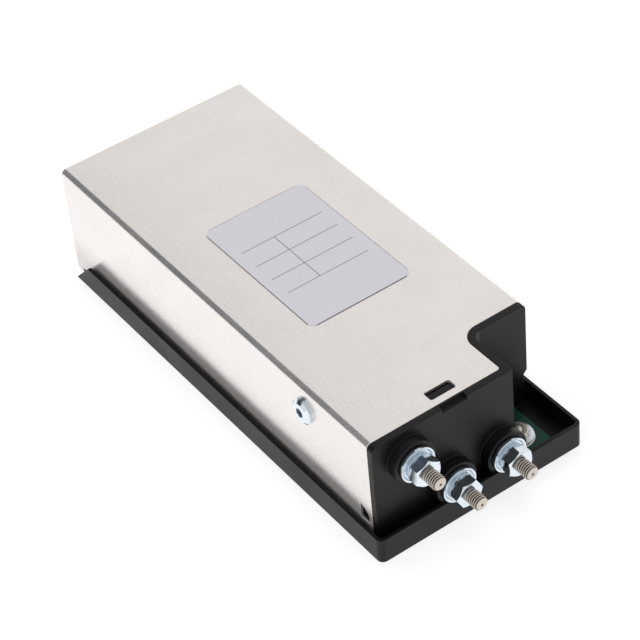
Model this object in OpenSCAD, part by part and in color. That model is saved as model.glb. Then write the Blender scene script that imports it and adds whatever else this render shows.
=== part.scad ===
// Enclosed mains line filter: a moulded base with end walls, a folded sheet cover, screw terminals
// at both ends, and the choke, capacitors and circuit board inside.
// Frame: +Z up from the mounting face, load terminals towards -Y, line terminals towards +Y.

/* [Cover] */
// Width over the cover
case_w = 60; // [58:1:76]
// Length of the cover
case_l = 138; // [134:1:180]
// Height of the cover's top above the mounting face
case_h = 34.6; // [34:0.2:46]
// Thickness of the cover sheet
sheet_t = 1; // [0.7:0.1:1.2]
// Outer radius of the cover's folds
bend_r = 1.6; // [1.3:0.1:2.4]
// Width of the corner notch
notch_w = 19.4; // [18:0.2:19.4]
// Depth of the corner notch along the length
notch_y = 16; // [16:0.5:20]
// Radius of the notch's inner corner
notch_r = 5; // [3.5:0.5:6]
// Radius of the notch's outer corner
notch_tip_r = 0.8; // [0.4:0.1:1.2]
// Length of the rear lugs that reach the mounting face
lug_l = 2.9; // [2:0.1:4]
// Gap between the rear lugs and the mounting face
lug_gap = 0.2; // [0.1:0.1:0.4]

/* [Snap windows] */
// Width of the window in the top
top_snap_w = 7.5; // [5:0.1:9]
// Length of the window in the top
top_snap_l = 3.1; // [2:0.1:4]
// Distance of the top window from the left side
top_snap_x = 21.1; // [19:0.1:24]
// Distance of the top window from the sheet's front edge
top_snap_y = 2.1; // [1.8:0.1:3]
// Radius of the side windows' curved edge
side_snap_r = 3.5; // [2.8:0.1:3.8]
// Height of the side windows' curve centre
side_snap_z = 7.9; // [7.7:0.1:9]
// Reach of the side windows below their curve centre
side_snap_low = 1.3; // [0.8:0.1:1.5]
// Distance of a side window from its sheet edge
side_snap_y = 1.3; // [1.2:0.1:2.4]
// Corner radius of the top window
snap_r = 0.5; // [0.3:0.1:0.8]
// Thickness of the snap arms
snap_arm_t = 1.4; // [1:0.1:1.8]
// How far a snap nose stands into its window
snap_nose = 0.6; // [0.4:0.1:0.7]

/* [Base moulding] */
// Height of the rim
rim_h = 7.6; // [7:0.2:8.4]
// Thickness of the rim
rim_t = 1.1; // [0.9:0.1:1.3]
// Reach of the rim beyond the cover's left side
rim_left = 2.4; // [2.2:0.1:4]
// Reach of the rim beyond the cover's right side
rim_right = 1.3; // [1.3:0.1:3]
// Reach of the rim beyond the sheet's front edge
rim_front = 6; // [5:0.2:8]
// Radius of the rim's front corners
rim_r = 1.8; // [1.6:0.2:5]
// Thickness of the floor
floor_t = 1.6; // [1.2:0.1:2]
// Thickness of the inner side walls
side_wall_t = 1.3; // [1:0.1:1.6]
// Width of the lip around the sheet's cut edges
lip = 2.1; // [1.8:0.1:2.6]
// Height below which the lip's right edge steps in
lip_step_z = 11.4; // [9:0.2:14]
// Thickness of the notch walls below the lip
notch_wall_t = 1.5; // [1.2:0.1:1.8]
// Depth of the front wall behind the sheet's edge
front_wall_in = 0.4; // [0.2:0.1:1]
// Thickness of the rear wall
rear_wall_t = 2.5; // [2:0.1:3.5]
// Thickness of the tongue under the sheet
tongue_t = 1.6; // [1.2:0.1:2]
// Reach of the tongue under the sheet
tongue_l = 3; // [2:0.2:4]

/* [Terminals] */
// Radius of the terminal studs over the thread
stud_r = 1.98; // [1.9:0.01:2]
// Radius of the studs' shanks, at half the thread's depth
shank_r = 1.77; // [1.7:0.01:1.8]
// Reach of the stud tips beyond the sheet's edges
stud_reach = 14.8; // [14.4:0.2:18]
// Radius of the stud heads
stud_head_r = 2.6; // [2.4:0.1:2.6]
// Thickness of the stud heads
stud_head_t = 1.4; // [1:0.1:2]
// Chamfer of the stud tips
stud_tip = 0.4; // [0.3:0.1:0.9]
// Radius of the centre hole in a stud tip
tip_hole_r = 0.35; // [0.2:0.05:0.5]
// Radius of the terminal bosses
boss_r = 6.1; // [5.5:0.1:6.4]
// Reach of the terminal bosses beyond the sheet's edges
boss_reach = 5.2; // [4:0.2:5.6]
// Load earth terminal: distance from the cover's left side
load_pe_x = 10.2; // [10:0.2:11]
// Load earth terminal: distance below the cover's top
load_pe_drop = 8.3; // [8:0.1:9]
// Distance of the load phase terminal from the corner notch
load_p_in = 2.7; // [2.7:0.1:4.1]
// Spacing of the load neutral and phase terminals
load_pitch = 15.8; // [15.2:0.1:16]
// Height of the load neutral and phase terminals
load_z = 11.4; // [11:0.1:12.6]
// Spacing of the line terminals
line_pitch = 18; // [16:0.5:20]
// Height of the line terminals
line_z = 14; // [13:0.2:18]

/* [Terminal hardware] */
// Radius of the cupped washers
washer_r = 5; // [4.5:0.1:5.2]
// Thickness of the cupped washers
washer_t = 0.6; // [0.5:0.1:0.8]
// Height of the cupped washers' raised edge
washer_cup = 0.5; // [0.2:0.1:0.6]
// Radius of the split spring washers
spring_r = 3.8; // [3.4:0.1:4]
// Thickness of the split spring washers
spring_t = 1.4; // [1:0.1:1.5]
// Gap of the split spring washers
spring_gap = 0.8; // [0.5:0.1:1.2]
// Width of the hex nuts across flats
nut_af = 7; // [6.8:0.1:7.2]
// Thickness of the hex nuts
nut_t = 3.2; // [2.8:0.1:3.4]

/* [Side screw] */
// Distance of the side screw from the sheet's front edge
side_screw_y = 25.6; // [24:0.2:30]
// Distance of the side screw below the cover's top
side_screw_drop = 7.3; // [7:0.1:8]
// Radius of the side screw's head
side_head_r = 3.6; // [3.3:0.1:3.9]
// Height of the side screw's head
side_head_h = 1.6; // [1.2:0.1:2]
// Length of the side screw below its head
side_screw_l = 5; // [4.5:0.5:8]

/* [Rating plate] */
// Length of the rating plate
plate_l = 48.5; // [40:0.5:60]
// Width of the rating plate
plate_w = 31.6; // [24:0.2:34]
// Distance of the plate from the sheet's front edge
plate_y = 41.6; // [36:0.2:46]
// Distance of the plate from the cover's left side
plate_x = 14.4; // [13:0.2:16]
// Thickness of the plate
plate_t = 0.15; // [0.1:0.05:0.3]
// Corner radius of the plate
plate_r = 2.4; // [1.5:0.1:4]

/* [Circuit board] */
// Thickness of the board
board_t = 1.6; // [1.2:0.1:2]
// Height of the board's underside above the mounting face
board_z = 3.2; // [3:0.1:3.6]
// Distance of the board's edge from the cover's right side
board_in = 6.4; // [5:0.2:7]
// Reach of the board's tongue beyond the sheet's front edge
tongue_front = 3.4; // [2.6:0.2:4]
// Tongue stud: distance from the cover's right side
pad_in = 12.5; // [11:0.1:12.6]
// Tongue stud: distance behind the sheet's front edge
pad_y = 3; // [2:0.1:6]
// Radius of the tongue stud
pad_stud_r = 1.5; // [1.4:0.05:1.6]
// Radius of the tongue stud's head
pad_head_r = 2.8; // [2.4:0.1:3.6]
// Radius of the tongue's washer
pad_washer_r = 4.3; // [3.8:0.1:4.4]
// Thickness of the tongue's washer
pad_washer_t = 0.8; // [0.6:0.1:1]
// Width of the tongue nut across flats
pad_nut_af = 5.5; // [5.3:0.1:5.7]
// Thickness of the tongue nut
pad_nut_t = 1.8; // [1.6:0.1:2.4]
// Radius of the component leads
lead_r = 0.4; // [0.3:0.05:0.5]

/* [Choke] */
// Outer radius of the choke core
core_ro = 16; // [15:0.5:17]
// Inner radius of the choke core
core_ri = 9; // [8.5:0.25:9.5]
// Height of the choke core
core_h = 14; // [10:0.5:15]
// Diameter of the winding wire
wire_d = 1.5; // [1.2:0.1:1.6]
// Turns of each winding
turns = 10; // [8:1:11]
// Distance of the choke's centre from the sheet's front edge
choke_y = 62; // [58:1:66]
// Thickness of the choke's carrier
carrier_t = 2; // [1.6:0.1:3]

/* [Capacitors] */
// Length of the line-to-line capacitors
xcap_l = 26.5; // [24:0.5:28]
// Width of the line-to-line capacitors
xcap_w = 11; // [9:0.5:12]
// Height of the line-to-line capacitors
xcap_h = 20; // [16:0.5:22]
// Lead pitch of the line-to-line capacitors
xcap_pitch = 22.5; // [20:0.5:23]
// Radius of the disc capacitors
ycap_r = 5; // [4:0.25:5.5]
// Thickness of the disc capacitors
ycap_t = 4; // [3:0.25:5]
// Lead pitch of the disc capacitors
ycap_pitch = 5; // [4:0.5:7.5]
// Distance between the disc capacitors
ycap_step = 9; // [8:0.5:12]
// Radius of the surge disc
varistor_r = 7; // [5:0.5:7]
// Thickness of the surge disc
varistor_t = 4.6; // [3.6:0.2:5.4]
// Radius of the discharge resistor
resistor_r = 1.3; // [0.9:0.1:1.6]
// Length of the discharge resistor
resistor_l = 6.6; // [5:0.2:8]

/* [Hidden] */
$fn = 64;
sheet_gap = 0.05;      // clearance between the sheet and the moulding
nose_gap = sheet_gap + 0.3 * snap_r;   // clearance of a snap nose in its window's round corners
lead_gap = 0.05;       // clearance around leads and pins
bore_gap = 0.03;       // clearance of a nut or busbar on its stud
through = 1;           // how far a cutting tool passes a face
washer_gap = 0.3;      // round the load washers where they pass the rim
free_gap = 0.2;        // from a nut to where its stud's thread is drawn full size
notch_x = case_w - notch_w;                              // width of the sheet left beside the notch
x_l = -(case_w + rim_left + rim_right) / 2 + rim_left;   // cover's left face
x_r = x_l + case_w;                                      // cover's right face
y_f = -case_l / 2;                                       // sheet's front edge
y_b = case_l / 2;                                        // sheet's rear edge
in_l = x_l + sheet_t + sheet_gap;                        // moulding's sides inside the cover
in_r = x_r - sheet_t - sheet_gap;
in_top = case_h - sheet_t - sheet_gap;
rim_x0 = x_l - rim_left;
rim_x1 = x_r + rim_right;
rim_y0 = y_f - rim_front;
rim_y1 = y_b - lug_l - sheet_gap;                        // rear end of the side rims
notch_face_x = x_l + notch_x + lip;                      // notch wall faces
notch_face_y = y_f + notch_y - lip;
bar_t = 0.8;                                             // busbar stock
bar_w = 2 * stud_head_r;
bar_foot = 6;
bar_pin_in = 1.5;                                        // busbar pins' distance from their foot's end
bar_pin_r = 0.6;
board_top = board_z + board_t;
board_back = y_b - rear_wall_t - 1.4;
board_front = y_f + front_wall_in + 1.4;
board_left = in_l + side_wall_t + 0.6;
board_right = case_w - board_in;                         // from the cover's left side
pad_x = case_w - pad_in;
tongue_x0 = notch_face_x + 0.6;
pillar_r = 3;
pillar_drop = 12;                                        // pillars' distance from the board's ends
board_screw_r = 1.4;
pillar_in = 5;                                           // and from its sides
pillar_at = [[board_left + pillar_in, board_front + pillar_drop + 6],
             [board_left + pillar_in, board_back - pillar_drop],
             [x_l + board_right - pillar_in, notch_face_y + pillar_drop],
             [x_l + board_right - pillar_in, board_back - pillar_drop]];
wire_sides = 8;                                          // facets round the winding wire
wire_flat = wire_d / 2 * cos(180 / wire_sides);          // from the wire's centre line to a facet
wire_bend = wire_flat / 2;                               // where the wire turns past the core's edges
core_gap = 0.05;                                         // clearance of the windings in the core's hole
turn_pitch = (wire_d + core_gap) / (core_ri - core_gap - wire_flat - wire_d / 2) * 180 / PI;
choke_at = [(board_left + x_l + board_right) / 2, y_f + choke_y];
carrier_r = core_ro + wire_d + 1;
core_z = board_top + carrier_t + 2 * wire_flat;
part_gap = 3;                                            // between the parts on the board
xcap_at = [[choke_at[0], choke_at[1] - carrier_r - part_gap - xcap_w / 2],
           [choke_at[0], choke_at[1] + carrier_r + part_gap + xcap_w / 2]];
ycap_x = choke_at[0] - 2 * ycap_r;
ycap_y = xcap_at[1][1] + xcap_w / 2 + part_gap + 1 + ycap_t / 2;
disc_foot = 0.6;                                         // height of the disc parts over the board
resistor_pitch = resistor_l + 3.4;
varistor_x = choke_at[0] + 2 * varistor_r;
resistor_at = [varistor_x, ycap_y];
varistor_at = [varistor_x, ycap_y + resistor_r + part_gap + 1.4 + varistor_t / 2];
lead_end = (floor_t + board_z) / 2;                      // lower end of every lead
front_in = -front_wall_in;                               // inner faces of the end walls,
rear_in = -rear_wall_t;                                  // measured outwards from the sheet edge
load_pe_z = case_h - load_pe_drop;
load_p_x = notch_x - load_p_in;
side_screw_z = case_h - side_screw_drop;
load_studs = [[load_pe_x, load_pe_z], [load_p_x - load_pitch, load_z], [load_p_x, load_z]];
line_studs = [for (i = [-1:1]) [case_w / 2 + i * line_pitch, line_z]];
stack = washer_t + spring_t + nut_t;                     // hardware on each stud
bracket_t = 1.2;
bracket_lap = 5;                                         // bracket beyond the earth stud and the screw
bracket_z0 = load_pe_z - bracket_lap;
bracket_z1 = in_top - 0.6;
bracket_end = y_f + side_screw_y + bracket_lap + 1;

// ---- shared shapes ----

// Rectangle from (x0, y0) to (x1, y1) with all corners rounded
module round_rect(x0, y0, x1, y1, r) {
    translate([x0 + r, y0]) square([x1 - x0 - 2 * r, y1 - y0]);
    translate([x0, y0 + r]) square([x1 - x0, y1 - y0 - 2 * r]);
    for (x = [x0 + r, x1 - r], y = [y0 + r, y1 - r]) translate([x, y]) circle(r);
}

// Rectangle with only its two front corners rounded
module round_front(x0, y0, x1, y1, r) {
    translate([x0, y0 + r]) square([x1 - x0, y1 - y0 - r]);
    translate([x0 + r, y0]) square([x1 - x0 - 2 * r, 2 * r]);
    for (x = [x0 + r, x1 - r]) translate([x, y0 + r]) circle(r);
}

// Ground plan of the corner notch, its walls moved outwards by d
module notch_plan(d) {
    x = x_l + notch_x + d;
    y = y_f + notch_y - d;
    r = notch_r - d;
    far = 40;
    translate([x + r, y_f - far]) square([far, far + y - y_f]);
    translate([x, y_f - far]) square([far, far + y - y_f - r]);
    translate([x + r, y - r]) circle(r);
}

// Section of the cover: a top with two sides, folded at radius r
module channel_section(x0, x1, z1, r) {
    round_top(x0, 0, x1, z1, r);
}

// Rectangle with its two upper corners rounded
module round_top(x0, z0, x1, z1, r) {
    translate([x0, z0]) square([x1 - x0, z1 - z0 - r]);
    translate([x0 + r, z0]) square([x1 - x0 - 2 * r, z1 - z0]);
    for (x = [x0 + r, x1 - r]) translate([x, z1 - r]) circle(r);
}

// Carries an X-Z section along Y from y0 to y1
module along_y(y0, y1) {
    translate([0, y1, 0]) rotate([90, 0, 0]) linear_extrude(y1 - y0) children();
}

// Carries an X-Y plan up from z0 to z1
module upright(z0, z1) {
    translate([0, 0, z0]) linear_extrude(z1 - z0) children();
}

// Puts a terminal's local frame at the load end: +Z outwards, origin in the plane of the sheet's edge
module at_load(p) {
    translate([x_l + p[0], y_f, p[1]]) rotate([90, 0, 0]) children();
}

// The same at the line end
module at_line(p) {
    translate([x_l + p[0], y_b, p[1]]) rotate([-90, 0, 0]) children();
}

// Stud with a flat head inside, a shank through wall and nut, and outside the nut its full
// thread size with a chamfered tip and a centre hole
module stud(inner) {
    seat = inner - bar_t;
    difference() {
        rotate_extrude() polygon([[0, seat - stud_head_t], [stud_head_r, seat - stud_head_t],
            [stud_head_r, seat], [shank_r, seat], [shank_r, boss_reach + stack + free_gap],
            [stud_r, boss_reach + stack + free_gap], [stud_r, stud_reach - stud_tip],
            [stud_r - stud_tip, stud_reach], [0, stud_reach]]);
        translate([0, 0, stud_reach - 1]) cylinder(h = 2, r = tip_hole_r);
    }
}

// Cupped washer: flat on its boss, its outer edge raised
module cup_washer(r) {
    rotate_extrude() polygon([[stud_r + bore_gap, 0], [r - 0.4, 0], [r, 0.4], [r, washer_t + washer_cup],
        [r - 0.4, washer_t + washer_cup], [r - 0.9, washer_t], [stud_r + bore_gap, washer_t]]);
}

// Split spring washer
module spring_washer() {
    difference() {
        cylinder(h = spring_t, r = spring_r);
        translate([0, 0, -through]) cylinder(h = spring_t + 2 * through, r = stud_r + 0.15);
        rotate(-35) translate([0, -spring_gap / 2, -through]) cube([spring_r + 1, spring_gap, 3 * through]);
    }
}

// Hex nut with both faces chamfered, on a shank of radius r
module hex_nut(af = nut_af, t = nut_t, r = shank_r) {
    corner = af / sqrt(3);
    cut = corner - af / 2 * 0.96;
    difference() {
        intersection() {
            cylinder(h = t, r = corner, $fn = 6);
            rotate_extrude() polygon([[0, 0], [corner - cut, 0], [corner, cut * 0.6],
                [corner, t - cut * 0.6], [corner - cut, t], [0, t]]);
        }
        translate([0, 0, -through]) cylinder(h = t + 2 * through, r = r + bore_gap);
    }
}

// Terminal boss, standing out of an end wall
module boss(inner) {
    translate([0, 0, inner]) cylinder(h = boss_reach - inner, r = boss_r);
}

// Bore for a stud through a boss and its wall
module stud_bore(inner) {
    translate([0, 0, inner - through])
        cylinder(h = boss_reach - inner + 2 * through, r = shank_r + lead_gap);
}

// ---- base moulding ----

// Wall plan: front wall and notch walls as one band around the sheet's cut edges
module lip_plan() {
    difference() {
        translate([x_l, y_f - lip]) square([case_w, notch_y + lip]);
        notch_plan(lip);
        difference() {
            translate([x_l - through, y_f]) square([case_w + 2 * through, notch_y + through]);
            notch_plan(0);
        }
    }
}

// The same band carried inwards as a wall of thickness t behind the lip's face
module inner_wall_plan(behind, t) {
    difference() {
        translate([in_l, y_f - lip]) square([in_r - in_l, notch_y + behind + lip]);
        notch_plan(lip);
        difference() {
            translate([in_l - through, y_f + behind]) square([case_w, notch_y + through + lip]);
            notch_plan(lip - t);
        }
    }
}

// Snap arm in the end wall with its nose in a window, drawn along +Y and rising along +Z
module snap_arm(w, l, nose_y, nose_l) {
    translate([0, 0, -snap_arm_t]) cube([w, l, snap_arm_t]);
    translate([nose_gap, nose_y + nose_gap, 0]) rotate([90, 0, 90])
        linear_extrude(w - 2 * nose_gap)
            polygon([[0, 0], [nose_l - 2 * nose_gap, 0], [nose_l - 2 * nose_gap - 0.8, snap_nose],
                [0, snap_nose]]);
}

// Shape of a side window, drawn with Y along X and heights along Y, its edges moved inwards by d:
// a curve at the front and the top, straight at the back and below
module side_window(d) {
    intersection() {
        translate([side_snap_y + side_snap_r, side_snap_z]) circle(side_snap_r - d);
        translate([side_snap_y, side_snap_z - side_snap_low + d])
            square([side_snap_r - d, side_snap_r + side_snap_low]);
    }
}

// Side snap, seen along +X: an arm from the end wall's lip with its nose in the window
module side_snap(root, out) {
    top = side_snap_z + side_snap_r;
    translate([out > 0 ? -snap_arm_t : 0, -root, side_snap_z - side_snap_low])
        cube([snap_arm_t, root + side_snap_y + side_snap_r + 0.8, side_snap_r + side_snap_low]);
    intersection() {
        translate([out > 0 ? -snap_arm_t / 2 : -snap_nose, 0, 0]) rotate([90, 0, 90])
            linear_extrude(snap_arm_t / 2 + snap_nose) side_window(nose_gap);
        // the nose runs out towards its top
        along_y(-through, top) polygon([[-out * snap_arm_t, 0], [out * snap_nose, 0],
            [out * snap_nose, top - 2.4], [out * 0.1, top], [-out * snap_arm_t, top]]);
    }
}

module base_moulding() {
    color("#18181a")
    difference() {
        union() {
            // tray: floor and rim
            difference() {
                upright(0, rim_h) round_front(rim_x0, rim_y0, rim_x1, rim_y1, rim_r);
                upright(floor_t, rim_h + through)
                    round_front(rim_x0 + rim_t, rim_y0 + rim_t, rim_x1 - rim_t, y_b, rim_r - rim_t);
                // side rims run out at the rear at 45 degrees
                translate([rim_x0 - through, rim_y1 - rim_h, 0]) rotate([90, 0, 90])
                    linear_extrude(case_w + rim_left + rim_right + 2 * through)
                        polygon([[0, rim_h], [rim_h, 0], [rim_h + through, 0],
                            [rim_h + through, rim_h + through], [0, rim_h + through]]);
            }
            // floor between the cover's sides, up to the rear wall's face
            upright(0, floor_t) translate([in_l, y_f]) square([in_r - in_l, case_l]);
            // inner side walls
            upright(0, rim_h) for (x = [in_l, in_r - side_wall_t])
                translate([x, x < 0 ? y_f : y_f + notch_y])
                    square([side_wall_t, x < 0 ? case_l : case_l - notch_y]);
            // lip around the sheet's cut edges, with the cover's own section, stepping in at the
            // notch wall's right edge
            intersection() {
                upright(0, case_h) lip_plan();
                along_y(rim_y0, y_b) difference() {
                    channel_section(x_l, x_r, case_h, bend_r);
                    polygon([[in_r, -through], [x_r + through, -through],
                        [x_r + through, lip_step_z + x_r + through - in_r], [in_r, lip_step_z]]);
                }
            }
            // walls behind the lip, and the tongue that carries the sheet's top
            intersection() {
                union() {
                    upright(0, in_top) inner_wall_plan(front_wall_in, notch_wall_t);
                    upright(in_top - tongue_t, in_top) difference() {
                        inner_wall_plan(tongue_l, lip + tongue_l);
                        translate([x_l, y_f])
                            square([load_pe_x + stud_head_r + 5, tongue_l + through]);
                    }
                }
                along_y(rim_y0, y_b) round_top(in_l, 0, in_r, in_top, bend_r - sheet_t);
            }
            // rear wall
            along_y(y_b - rear_wall_t, y_b) round_top(in_l, 0, in_r, in_top, bend_r - sheet_t);
            // terminal bosses
            for (p = load_studs) at_load(p) boss(front_in);
            for (p = line_studs) at_line(p) boss(rear_in);
            // board pillars
            for (p = pillar_at) translate([p[0], p[1], 0]) cylinder(h = board_z, r = pillar_r);
            // snap in the top
            translate([x_l + top_snap_x, y_f, in_top])
                snap_arm(top_snap_w, top_snap_y + top_snap_l + 0.8, top_snap_y, top_snap_l);
            // snaps in the sides
            translate([in_l, y_f, 0]) side_snap(0, -1);
            translate([in_r, y_f + notch_y, 0]) side_snap(lip, 1);
        }
        // room for the washers of the load terminals where they pass the rim
        for (p = load_studs) at_load(p) translate([0, 0, boss_reach])
            cylinder(h = stud_reach, r = washer_r + washer_gap);
        for (p = load_studs) at_load(p) stud_bore(front_in);
        for (p = line_studs) at_line(p) stud_bore(rear_in);
        for (p = pillar_at) translate([p[0], p[1], floor_t])
            cylinder(h = board_z, r = board_screw_r + bore_gap);
        // gate under the notch wall for the board's tongue
        translate([tongue_x0 - 0.3, notch_face_y - notch_r, floor_t])
            cube([x_l + board_right + 0.6 - tongue_x0, lip + notch_r + through,
                board_top + 0.3 - floor_t]);
        // recess in the lip under the top window
        translate([x_l + top_snap_x, y_f - lip - through, case_h - 1.2])
            cube([top_snap_w, lip - 0.6 + through, 1.2 + through]);
    }
}

// ---- cover and what is on it ----

module sheet_cover() {
    color("#d9d6d1")
    difference() {
        along_y(y_f, y_b) difference() {
            channel_section(x_l, x_r, case_h, bend_r);
            channel_section(x_l + sheet_t, x_r - sheet_t, case_h - sheet_t, bend_r - sheet_t);
        }
        // sides stand on the floor, and only the rear lugs go lower
        translate([x_l - through, y_f - through, -through])
            cube([case_w + 2 * through, case_l - lug_l + through, floor_t + through]);
        translate([x_l - through, y_f - through, -through])
            cube([case_w + 2 * through, case_l + 2 * through, lug_gap + through]);
        // corner notch
        upright(-through, case_h + through) difference() {
            union() {
                notch_plan(0);
                translate([x_l + notch_x - notch_tip_r, y_f - through])
                    square([notch_tip_r + through, notch_tip_r + through]);
            }
            translate([x_l + notch_x - notch_tip_r, y_f + notch_tip_r]) circle(notch_tip_r);
        }
        // windows
        upright(in_top - through, case_h + through)
            round_rect(x_l + top_snap_x, y_f + top_snap_y, x_l + top_snap_x + top_snap_w,
                y_f + top_snap_y + top_snap_l, snap_r);
        for (s = [[x_l, y_f], [x_r, y_f + notch_y]]) translate([s[0] - through - sheet_t, s[1], 0])
            rotate([90, 0, 90]) linear_extrude(2 * (sheet_t + through)) side_window(0);
        // side screw
        translate([x_l - through, y_f + side_screw_y, side_screw_z]) rotate([0, 90, 0])
            cylinder(h = sheet_t + 2 * through, r = stud_r + 0.2);
    }
}

module rating_plate() {
    color("#cbcbd2")
    upright(case_h, case_h + plate_t)
        round_rect(x_l + plate_x, y_f + plate_y, x_l + plate_x + plate_w,
            y_f + plate_y + plate_l, plate_r);
}

module cover_screw() {
    color("#b9c6cf")
    translate([x_l, y_f + side_screw_y, side_screw_z]) rotate([0, 90, 0]) difference() {
        rotate_extrude() polygon([[0, -side_head_h], [side_head_r - 0.9, -side_head_h],
            [side_head_r, -side_head_h + 0.7], [side_head_r, 0], [shank_r, 0],
            [shank_r, side_screw_l - 0.5], [shank_r - 0.5, side_screw_l], [0, side_screw_l]]);
        translate([0, 0, -side_head_h - through])
            cylinder(h = through + side_head_h - 0.4, r = 1.45, $fn = 6);
    }
}

// ---- earth bracket between the load earth stud and the cover ----

module earth_bracket() {
    color("#b8b4ab")
    difference() {
        union() {
            translate([in_l, y_f + front_wall_in, bracket_z0])
                cube([load_pe_x + bracket_lap, bar_t, bracket_z1 - bracket_z0]);
            translate([in_l, y_f + front_wall_in, bracket_z0])
                cube([bracket_t, bracket_end - y_f - front_wall_in, bracket_z1 - bracket_z0]);
            translate([in_l + side_wall_t + 0.1, bracket_end - bar_w, board_top])
                cube([bar_foot, bar_w, bar_t]);
            translate([in_l, bracket_end - bar_w, rim_h])
                cube([bracket_t, bar_w, bracket_z0 - rim_h + through]);
            translate([in_l, bracket_end - bar_w, rim_h])
                cube([side_wall_t + bar_t + 0.1, bar_w, bar_t]);
            translate([in_l + side_wall_t + 0.1, bracket_end - bar_w, board_top])
                cube([bar_t, bar_w, rim_h + bar_t - board_top]);
            translate([in_l + side_wall_t + bar_foot - bar_pin_in, bracket_end - bar_w / 2, lead_end])
                cylinder(h = board_top - lead_end + bar_t / 2, r = bar_pin_r);
        }
        at_load(load_studs[0]) translate([0, 0, -2 * through - bar_t])
            cylinder(h = 3 * through, r = stud_r + lead_gap);
        translate([in_l - through, y_f + side_screw_y, side_screw_z]) rotate([0, 90, 0])
            cylinder(h = bracket_t + 2 * through, r = stud_r + 0.2);
    }
}

module bracket_nut() {
    color("#b9c6cf")
    translate([in_l + bracket_t, y_f + side_screw_y, side_screw_z]) rotate([0, 90, 0]) rotate(30) hex_nut();
}

// ---- terminals ----

module load_stud_earth() { color("#c9c0b0") at_load(load_studs[0]) stud(front_in); }
module load_stud_neutral() { color("#c9c0b0") at_load(load_studs[1]) stud(front_in); }
module load_stud_phase() { color("#c9c0b0") at_load(load_studs[2]) stud(front_in); }
module line_stud_neutral() { color("#c9c0b0") at_line(line_studs[0]) stud(rear_in); }
module line_stud_earth() { color("#c9c0b0") at_line(line_studs[1]) stud(rear_in); }
module line_stud_phase() { color("#c9c0b0") at_line(line_studs[2]) stud(rear_in); }

module load_cup_washers() {
    color("#b9c6cf") for (p = load_studs) at_load(p)
        translate([0, 0, boss_reach]) cup_washer(washer_r);
}
module line_cup_washers() {
    color("#b9c6cf") for (p = line_studs) at_line(p)
        translate([0, 0, boss_reach]) cup_washer(washer_r);
}
module load_spring_washers() {
    color("#a3b0b8") for (p = load_studs) at_load(p)
        translate([0, 0, boss_reach + washer_t]) spring_washer();
}
module line_spring_washers() {
    color("#a3b0b8") for (p = line_studs) at_line(p)
        translate([0, 0, boss_reach + washer_t]) spring_washer();
}
module load_nuts() {
    color("#b9c6cf") for (i = [0:2]) at_load(load_studs[i])
        translate([0, 0, boss_reach + washer_t + spring_t]) rotate([25, -2, 32][i]) hex_nut();
}
module line_nuts() {
    color("#b9c6cf") for (i = [0:2]) at_line(line_studs[i])
        translate([0, 0, boss_reach + washer_t + spring_t]) rotate([10, 37, 22][i]) hex_nut();
}

// Busbar at an end: an upright strip behind the wall and a foot on the board, run = 1 inwards along +Y
module end_busbar(p, y_in, run) {
    y0 = run > 0 ? y_in : y_in - bar_t;
    y1 = run > 0 ? y_in : y_in - bar_foot;
    difference() {
        union() {
            translate([x_l + p[0] - bar_w / 2, y0, board_top]) cube([bar_w, bar_t, p[1] - board_top]);
            translate([x_l + p[0], y0 + bar_t, p[1]]) rotate([90, 0, 0]) cylinder(h = bar_t, r = bar_w / 2);
            translate([x_l + p[0] - bar_w / 2, y1, board_top]) cube([bar_w, bar_foot, bar_t]);
            translate([x_l + p[0], y_in + run * (bar_foot - bar_pin_in), lead_end])
                cylinder(h = board_top - lead_end + bar_t / 2, r = bar_pin_r);
        }
        translate([x_l + p[0], y0 + bar_t + through, p[1]]) rotate([90, 0, 0])
            cylinder(h = bar_t + 2 * through, r = stud_r + lead_gap);
    }
}

module load_busbars() {
    color("#b8b4ab") for (i = [1, 2]) end_busbar(load_studs[i], y_f + front_wall_in, 1);
}
module line_busbars() {
    color("#b8b4ab") for (p = line_studs) end_busbar(p, y_b - rear_wall_t, -1);
}

// ---- circuit board and what stands on it ----

module board_plan() {
    translate([board_left, notch_face_y + lip + notch_wall_t])
        square([x_l + board_right - board_left, board_back - notch_face_y - lip - notch_wall_t]);
    translate([board_left, board_front])
        square([x_l + notch_x - 1 - board_left, notch_face_y + lip + notch_wall_t - board_front + through]);
    translate([tongue_x0, y_f - tongue_front])
        square([x_l + board_right - tongue_x0, notch_y + tongue_front + notch_wall_t + through]);
}

module circuit_board() {
    color("#1d6b47")
    difference() {
        upright(board_z, board_top) board_plan();
        for (p = pillar_at) drill(p, board_screw_r + 0.2);
        drill([x_l + pad_x, y_f + pad_y], pad_stud_r + bore_gap);
        for (i = [1, 2])
            drill([x_l + load_studs[i][0], y_f + front_wall_in + bar_foot - bar_pin_in],
                bar_pin_r + lead_gap);
        for (p = line_studs)
            drill([x_l + p[0], y_b - rear_wall_t - bar_foot + bar_pin_in], bar_pin_r + lead_gap);
        drill([in_l + side_wall_t + bar_foot - bar_pin_in, bracket_end - bar_w / 2],
            bar_pin_r + lead_gap);
        for (c = xcap_at, s = [-1, 1]) drill([c[0] + s * xcap_pitch / 2, c[1]], lead_r + lead_gap);
        for (i = [0:1], s = [-1, 1])
            drill([ycap_x + s * ycap_pitch / 2, ycap_y + i * ycap_step], lead_r + lead_gap);
        for (s = [-1, 1]) {
            drill([resistor_at[0] + s * resistor_pitch / 2, resistor_at[1]], lead_r + lead_gap);
            drill([varistor_at[0] + s * ycap_pitch / 2, varistor_at[1]], lead_r + lead_gap);
        }
        for (s = [-1, 1], e = [-1, 1]) drill(winding_end(s, e), wire_d / 2 + lead_gap);
    }
}

module drill(p, r) {
    translate([p[0], p[1], board_z - through]) cylinder(h = board_t + 2 * through, r = r);
}

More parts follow.
